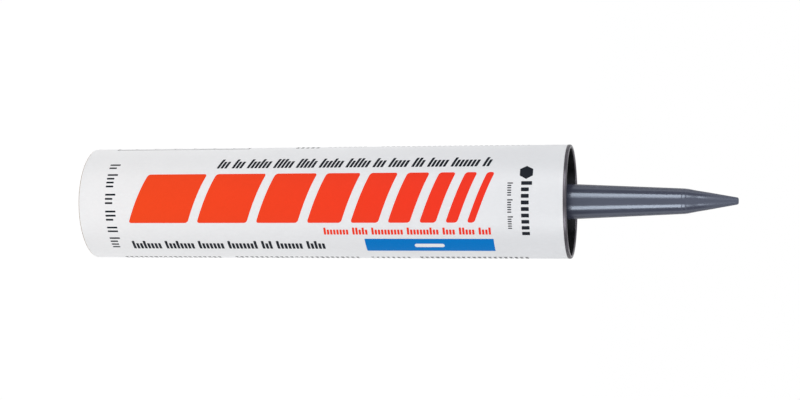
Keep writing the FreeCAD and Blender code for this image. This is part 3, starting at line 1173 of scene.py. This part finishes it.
@dataclass
class Nozzle:
    """The moulded nozzle with a shut tip. A rise is a height above the hem, in millimetres."""

    root_d: float = 15.18
    knee_rise: float = 48.1
    knee_d: float = 10.84
    bend_rise: float = 48.3
    bend_half: float = 1.6
    swing: float = 0.024
    swing_rises: Pair = (51.8, 54.9)
    swing_half: float = 1.35
    tip_d: float = 2.84
    tip_bend: float = 0.85
    tip_wall: float = 1.5
    tip_run: float = 3.0
    passage_d: float = 1.2
    wall: float = 1.2
    recess: float = 5.0
    sheet: float = 0.25
    ridge: float = 0.6
    ridge_rise: float = 1.2
    ridge_bends: Pair = (0.15, 0.4)
    gap: float = 0.1
    passage_bends: Triple = (0.1, 20.0, 0.1)
    flange_bend: float = 0.2
    neck_bend: float = 0.03
    guide_rises: Pair = (46.7, 48.4)
    guide_depth: float = 0.05
    guide_half: float = 0.16
    guide_reach: float = 0.22
    knee_reach: Pair = (3.0, 4.0)
    fine: float = 0.02
    row_steps: tuple[int, int, int] = (60, 10, 2)
    columns: int = 144

    def taper(self) -> float:
        """How fast the radius shrinks along the long taper."""
        return (self.root_d - self.knee_d) / 2 / self.knee_rise

    def slope(self, rises: np.ndarray) -> np.ndarray:
        """Find how fast the radius shrinks at each rise.

        The taper's slope goes over into the cone's by a smooth step about the bend, and the
        cone takes off what the taper leaves of the radius at the tip. Past the bend the mould
        was polished a little wavy, so two bell curves of equal size make the slope a touch
        steeper and then a touch flatter.

        Args:
            rises: heights above the hem.

        Returns:
            The slope at each, as radius lost per height.
        """
        tip_rise = NOZZLE.top - PLATE.top
        left = (self.root_d - self.tip_d) / 2 - self.taper() * tip_rise
        steeper = left / (tip_rise - self.bend_rise)
        step = smooth_step((rises - self.bend_rise) / (2 * self.bend_half) + 0.5)
        steep, flat = (np.exp(-(((rises - place) / self.swing_half) ** 2)) for place in self.swing_rises)
        return self.taper() + steeper * step + self.swing * (steep - flat)

    def outside(self, start: float, end: float) -> Outline:
        """Work out the outer surface between two rises, as a running sum of the slope.

        Each cutting guide takes a small V off the radius: its depth times what is left of 1
        after the distance from its middle over its half width. The sum runs in fine steps,
        and the rows kept of it lie closer at the knee, and closest at the guides.

        Args:
            start: the lower rise.
            end: the upper rise.

        Returns:
            The open profile.
        """
        rises = np.arange(start, end + self.fine / 2, self.fine)
        slopes = self.slope(rises)
        lost = np.concatenate([[0.0], np.cumsum((slopes[1:] + slopes[:-1]) / 2 * self.fine)])
        away = np.abs(rises[:, None] - np.array(self.guide_rises))
        scored = np.clip(1.0 - away / self.guide_half, 0.0, 1.0).sum(axis=1)
        radii = self.root_d / 2 - self.taper() * start - lost - self.guide_depth * scored
        total = -np.gradient(radii, rises)
        at_guide = away.min(axis=1) < self.guide_reach
        below, past = self.knee_reach
        at_knee = (rises > self.knee_rise - below) & (rises < self.swing_rises[1] + past)
        numbers = np.arange(len(rises))
        plain, knee, guide = (numbers % step == 0 for step in self.row_steps)
        kept = plain | (at_knee & knee) | (at_guide & guide)
        kept[-1] = True
        points = np.stack([radii, rises + PLATE.top], axis=1)[kept] * MM
        normals = np.stack([np.ones(kept.sum()), total[kept]], axis=1)
        return Outline(points, normals / np.linalg.norm(normals, axis=1)[:, None])

    def build(self) -> None:
        """Make the nozzle and seat it.

        The profile starts on the axis under the tip, runs down the passage, round the flange
        and the snap ridge, up the outside and over the tip, back to the axis.
        """
        hem, tip, foot = PLATE.top, NOZZLE.top, NOZZLE.foot
        panel = hem - self.recess
        under = panel - self.sheet
        neck = self.root_d / 2 + self.taper() * self.recess
        ridge_foot = panel + self.gap
        side_start = ridge_foot + self.ridge_rise + self.ridge - hem
        side = self.outside(side_start, tip - self.tip_run - hem)
        first, second, last = (tuple(side.points[i] / MM) for i in (0, 1, -1))
        end_bend, knee_bend, foot_bend = self.passage_bends
        base = round_corners(
            [
                (0.0, tip - self.tip_wall, 0.0),
                (self.passage_d / 2, tip - self.tip_wall, end_bend),
                (self.knee_d / 2 - self.wall, hem + self.knee_rise, knee_bend),
                (neck - self.wall, foot, foot_bend),
                (NOZZLE.radius, foot, self.flange_bend),
                (NOZZLE.radius, under, self.flange_bend),
                (neck, under, self.neck_bend),
                (neck, ridge_foot, self.neck_bend),
                (neck + self.ridge, ridge_foot, self.ridge_bends[0]),
                (*first, self.ridge_bends[1]),
                (*second, 0.0),
            ],
            closed=False,
            steps=10,
        )
        crown = round_corners([(*last, 0.0), (self.tip_d / 2, tip, self.tip_bend), (0.0, tip, 0.0)],
                              closed=False, steps=14)
        parts = [(base, slice(None, -1)), (side, slice(1, None)), (crown, slice(1, None))]
        outline = Outline(np.concatenate([part.points[run] for part, run in parts]),
                          np.concatenate([part.normals[run] for part, run in parts]))
        finish = MouldedPlastic("slate_plastic", (0.053, 0.058, 0.088), (0.168, 0.192), specular=0.78,
                                tint=(0.76, 0.86, 1.0), dulling=0.3, dulling_run=(0.2705, 0.277),
                                grain_relief=(0.000004, 0.25), streak_relief=(0.00001, 0.2))
        piece = make_piece("nozzle_moulding", revolve(outline, self.columns), finish.material())
        seat(piece, Body.BARREL, Slot.NOZZLE, "nozzle")


# Inside the barrel


@dataclass
class SealedContents:
    """The column of sealant and the foil that seals the nozzle's root."""

    edge_bend: float = 0.6
    columns: int = 96

    def build(self) -> None:
        """Make the column, which shortens towards its front face, and dress the foil's node."""
        rear, front, radius = CUP.top, PASTE.top, PASTE.radius
        edges = [(radius, rear, self.edge_bend), (radius, front, self.edge_bend)]
        outline = round_corners([(0.0, rear, 0.0), *edges, (0.0, front, 0.0)], closed=False)
        piece = make_piece("sealant_column", revolve(outline, self.columns), SealantPaste().material())
        seat(piece, Body.BARREL, Slot.SEALANT, "sealant")
        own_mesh(piece)
        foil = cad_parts["foil_seal"]
        foil.data.materials.clear()
        foil.data.materials.append(SealFoil().material())
        log.info("foil_seal keeps its frame mesh")


@dataclass
class Plunger:
    """The moulded plunger: two wiping lips, a waisted skirt, a face, a hub and radial ribs."""

    lip_rise: float = 1.6
    lip_bends: Pair = (0.35, 0.2)
    waist: float = 0.6
    waist_bend: float = 0.5
    skirt: float = 1.2
    mouth_bend: float = 0.3
    mouth_run: float = 1.0
    face: float = 1.6
    hub_d: float = 13.0
    rib: float = 1.2
    rib_depth: float = 7.0
    ribs: int = 8
    rib_spans: int = 10
    bend: float = 0.22
    draft: float = 0.08
    clear: float = 1.5
    middle_r: float = 0.6
    root_row: float = 0.3
    face_rows: int = 8
    hub_rows: int = 4

    def section(self) -> tuple[np.ndarray, np.ndarray]:
        """Lay out half a rib's section, from its crest to its root.

        The crest is flat, its edge and its root are bends of two spans each, which stand for
        quarter circles, and the side between them is steep with a slight draft.

        Returns:
            The distances from the rib's middle, and the share of its depth at each.
        """
        inner, outer = 0.4, 0.2
        half, foot = self.rib / 2, self.rib / 2 + self.draft
        size = self.bend / self.rib_depth
        offsets = [half - self.bend, half - self.bend * inner, half, foot, foot + self.bend * inner,
                   foot + self.bend]
        return np.array(offsets), np.array([1.0, 1.0 - size * outer, 1.0 - size, size, size * outer, 0.0])

    def relief(self, offset: np.ndarray) -> np.ndarray:
        """How much of a rib's depth stands at a distance from its middle, from 0 to 1."""
        return np.interp(np.abs(offset), *self.section())

    def across(self) -> np.ndarray:
        """The distances at which a rib's section bends, on both sides of its middle."""
        offsets = self.section()[0]
        return np.concatenate([-offsets[::-1], [0.0], offsets])

    def turn_columns(self, radii: np.ndarray) -> np.ndarray:
        """Find the turn angle of every column at each radius.

        Columns that follow a rib keep their distance from its middle line, so their angle is
        the arcsine of that distance over the radius. The columns between two ribs share out
        what is left of the angle evenly.

        Args:
            radii: one radius for each row, in millimetres.

        Returns:
            An array of rows by columns, in radians.
        """
        step = TURN / self.ribs
        reach = np.maximum(radii, self.hub_d / 2)[:, None]
        near = np.arcsin(np.clip(self.across() / reach, -1.0, 1.0))
        share = np.linspace(0.0, 1.0, self.rib_spans + 1)[1:-1]
        gap = near[:, -1:] + (near[:, :1] + step - near[:, -1:]) * share
        sector = np.concatenate([near, gap], axis=1)
        return np.concatenate([sector + step * k for k in range(self.ribs)], axis=1)

    def build(self) -> None:
        """Make the plunger and seat it.

        The outside is a profile carried round the axis. Behind the face the same grid goes
        on inwards, and its height there is the face's underside less the rib depth times
        the greater of the ribs' and the hub's relief, so hub, ribs and cup are one skin. A
        quarter circle of one bend rounds the skirt into it.
        """
        lip, front, rear = CUP.radius, CUP.top, CUP.foot
        waist = lip - self.waist
        inner = waist - self.skirt
        under = front - self.face
        edge, inside = self.lip_bends
        slope = self.lip_rise + self.waist
        outside = round_corners(
            [
                (0.0, front, 0.0),
                (lip, front, edge),
                (lip, front - self.lip_rise, inside),
                (waist, front - slope, self.waist_bend),
                (waist, rear + slope, self.waist_bend),
                (lip, rear + self.lip_rise, inside),
                (lip, rear, edge),
                (inner, rear, self.mouth_bend),
                (inner, rear + self.mouth_run, 0.0),
            ],
            closed=False,
        )
        rows = outside.points[1:] / MM
        hub_middle = (self.hub_d - self.rib) / 2
        radii = np.concatenate([
            rows[:, 0],
            [inner, inner - self.bend * self.root_row, inner - self.bend],
            np.linspace(inner - self.clear, self.hub_d / 2 + self.clear, self.face_rows),
            hub_middle - self.across(),
            np.linspace(hub_middle - self.rib, self.middle_r, self.hub_rows),
        ])
        turns = self.turn_columns(radii)
        step = TURN / self.ribs
        sideways = radii[:, None] * np.sin((turns + step / 2) % step - step / 2)
        ribs = np.where(radii[:, None] < hub_middle, 0.0, self.relief(sideways))
        hub = self.relief(radii - hub_middle)[:, None]
        into_skirt = 1.0 - np.clip((inner - radii) / self.bend, 0.0, 1.0)[:, None]
        root = self.bend * (1.0 - np.sqrt(1.0 - into_skirt**2))
        heights = under - self.rib_depth * np.maximum(ribs, hub) - root
        heights[: len(rows)] = rows[:, 1:]
        skin = facing(-turns) * radii[:, None, None] + heights[:, :, None] * UP
        columns = turns.shape[1]
        tip = len(radii) * columns
        points = np.vstack([skin.reshape(-1, 3), front * UP, under * UP]) * MM
        fans = np.vstack([fan(tip, 0, columns), fan(tip + 1, tip - columns, columns, True)])
        finish = MouldedPlastic("natural_plastic", (0.74, 0.735, 0.71), (0.32, 0.45), scatter=0.12)
        shell = Shell(points, grid_quads(len(radii), columns, False, True), fans)
        piece = make_piece("plunger_cup", shell, finish.material())
        seat(piece, Body.PLUNGER, Slot.PLUNGER, "plunger")


# The studio


@dataclass(frozen=True)
class SoftBox:
    """A soft box that stands upright and faces the axis.

    Azimuth is in degrees from the camera's side, -Y, and grows towards -X. Brightness is how
    many times brighter than white card it looks.
    """

    name: str
    azimuth: float
    middle_z: float
    width: float
    height: float
    brightness: float
    distance: float = 2.0

    def build(self) -> None:
        """Hang the soft box, which the camera doesn't see."""
        data = bpy.data.lights.new(self.name, "AREA")
        data.shape = "RECTANGLE"
        data.size, data.size_y = self.width, self.height
        data.energy = self.brightness * math.pi * self.width * self.height
        light = bpy.data.objects.new(self.name, data)
        light.visible_camera = False
        turn = math.radians(self.azimuth)
        away = Vector((-math.sin(turn), -math.cos(turn), 0.0))
        light.location = away * self.distance + Vector((0.0, 0.0, self.middle_z))
        light.rotation_euler = (-away).to_track_quat("-Z", "Y").to_euler()
        bpy.context.scene.collection.objects.link(light)
        log.info("%s hangs at azimuth %.0f", self.name, self.azimuth)


@dataclass(frozen=True)
class GreyCard:
    """A curved grey card that stands round the cartridge and shows only in its gloss.

    It takes the white room's sheen off a stretch of the round sides, as a photographer's flag
    does. Azimuths are in degrees, as in SoftBox.
    """

    name: str
    start: float
    end: float
    shade: float
    distance: float = 1.7
    height: float = 0.9
    columns: int = 24

    def build(self) -> None:
        """Stand the card up: a point at azimuth a lies at (-sin a, -cos a) times the distance."""
        turns = np.radians(np.linspace(self.start, self.end, self.columns + 1))
        foot = facing(turns) * self.distance
        points = np.concatenate([foot, foot + UP * self.height])
        shell = Shell(points, grid_quads(2, self.columns + 1, False, False), NO_TRIANGLES)
        bench = Bench(self.name)
        nap = bench.noise(scale=30.0, detail=2.0)
        bench.settle(Base_Color=bench.mottled(nap, WHOLE, (self.shade,) * 3, (0.8, 1.2)), Roughness=0.9,
                     Specular_IOR_Level=0.0)
        card = make_piece(self.name, shell, bench.material)
        for ray in ("camera", "diffuse", "transmission", "shadow", "volume_scatter"):
            setattr(card, f"visible_{ray}", False)


@dataclass
class Studio:
    """The pale floor, the soft surroundings, the soft boxes, the cards and the camera."""

    floor_radius: float = 4.0
    floor_rings: int = 12
    floor_columns: int = 64
    floor_white: float = 0.82
    shadow_share: float = 0.16
    ambient: float = 0.65
    air: Colour = (0.985, 0.99, 1.0)
    lens: float = 74.4
    sensor_width: float = 36.0
    clip: Pair = (0.01, 50.0)
    camera_place: Triple = (-0.0010, -0.7122, 0.2882)
    camera_pitch: float = 11.734
    camera_skew: float = 0.235
    fixtures: tuple[SoftBox | GreyCard, ...] = (
        SoftBox("front_box_left", 47.0, 0.31, 0.80, 0.38, 7.3),
        SoftBox("inner_box_left", 31.0, 0.31, 0.32, 0.38, 3.6),
        SoftBox("front_box_right", -42.4, 0.31, 0.84, 0.38, 8.6),
        SoftBox("high_box_left", 46.0, 0.80, 0.72, 0.20, 6.4),
        SoftBox("high_box_right", -42.0, 0.80, 0.72, 0.20, 4.6),
        SoftBox("rear_box_left", 140.0, 0.8, 1.5, 1.5, 0.8),
        SoftBox("rear_box_right", -140.0, 0.8, 1.5, 1.5, 0.8),
        GreyCard("side_card_left", 61.0, 92.0, 0.3),
        GreyCard("side_card_right", -92.0, -61.0, 0.3),
        GreyCard("grey_card_left", 112.0, 172.0, 0.6),
        GreyCard("grey_card_right", -172.0, -112.0, 0.6),
    )

    def floor(self) -> None:
        """Lay a round floor that the rear rim stands on, as rings of points wider apart outwards."""
        rings, columns = self.floor_rings, self.floor_columns
        radii = self.floor_radius * (np.arange(1, rings + 1) / rings) ** 2
        angles = np.arange(columns) * TURN / columns
        ways = np.stack([np.cos(angles), np.sin(angles), np.zeros(columns)], axis=1)
        points = np.vstack([(radii[:, None, None] * ways).reshape(-1, 3), np.zeros(3)])
        shell = Shell(points, grid_quads(rings, columns, False, True), fan(rings * columns, 0, columns))
        make_piece("studio_floor", shell, self.floor_material())

    def floor_material(self) -> bpy.types.Material:
        """White that shows white to the camera and to gloss, and still takes some shadow."""
        bench = Bench("floor_white")
        grain = bench.noise(scale=40.0, detail=2.0)
        pale = (self.floor_white,) * 3
        bench.settle(Base_Color=bench.mottled(grain, WHOLE, pale, (0.995, 1.0)), Roughness=0.9,
                     Specular_IOR_Level=0.0)
        lit = self.shadow_share * self.floor_white * self.ambient
        glow = bench.add("Emission", {"Strength": (1.0 - lit) / (1.0 - self.shadow_share)})
        share = bench.maths("MULTIPLY", bench.seen_directly(), 1.0 - self.shadow_share)
        both = bench.add("MixShader", {0: share, 1: bench.shader.outputs[0], 2: glow.outputs[0]})
        bench.feed(bench.output.inputs["Surface"], both.outputs[0])
        return bench.material

    def surroundings(self) -> None:
        """Make a world that is white to the camera and to gloss, and a plain soft light to the rest."""
        world = bpy.data.worlds.new("studio_air")
        bpy.context.scene.world = world
        world.use_nodes = True
        bench = NodeBench(world.node_tree)
        soft = bench.add("Background", {"Color": self.air, "Strength": self.ambient})
        white = bench.add("Background", {"Color": (1.0, 1.0, 1.0), "Strength": 1.0})
        both = bench.add("MixShader", {0: bench.seen_directly(), 1: soft.outputs[0], 2: white.outputs[0]})
        bench.add("OutputWorld", {"Surface": both.outputs[0]})

    def camera(self) -> None:
        """Set the camera in front of the label, rolled by a quarter turn.

        It looks along +Y and down by its pitch. Up in the picture is -X, so right in the
        picture is +Z, and the skew is the small rest of the roll.
        """
        pitch, skew = math.radians(self.camera_pitch), math.radians(self.camera_skew)
        forward = Vector((0.0, math.cos(pitch), -math.sin(pitch)))
        up = Matrix.Rotation(skew, 3, forward) @ Vector((-1.0, 0.0, 0.0))
        turn = Matrix((forward.cross(up), up, -forward)).transposed()
        data = bpy.data.cameras.new("camera")
        data.lens, data.sensor_width = self.lens, self.sensor_width
        data.clip_start, data.clip_end = self.clip
        camera = bpy.data.objects.new("camera", data)
        camera.matrix_world = Matrix.Translation(self.camera_place) @ turn.to_4x4()
        bpy.context.scene.collection.objects.link(camera)
        bpy.context.scene.camera = camera

    def build(self) -> None:
        """Set up the whole studio."""
        self.floor()
        self.surroundings()
        for fixture in self.fixtures:
            fixture.build()
        self.camera()
        bpy.context.scene.view_settings.view_transform = "Standard"


def main() -> None:
    """Build the cartridge piece by piece, then the studio round it."""
    logging.basicConfig(level=logging.INFO, format="%(message)s")
    wrap = LabelWrap()
    for assembly in (PaperTube(), wrap, LabelPrint(wrap), EndPlate(), Nozzle(), SealedContents(), Plunger()):
        assembly.build()
    Studio().build()


if __name__ == "__main__":
    main()
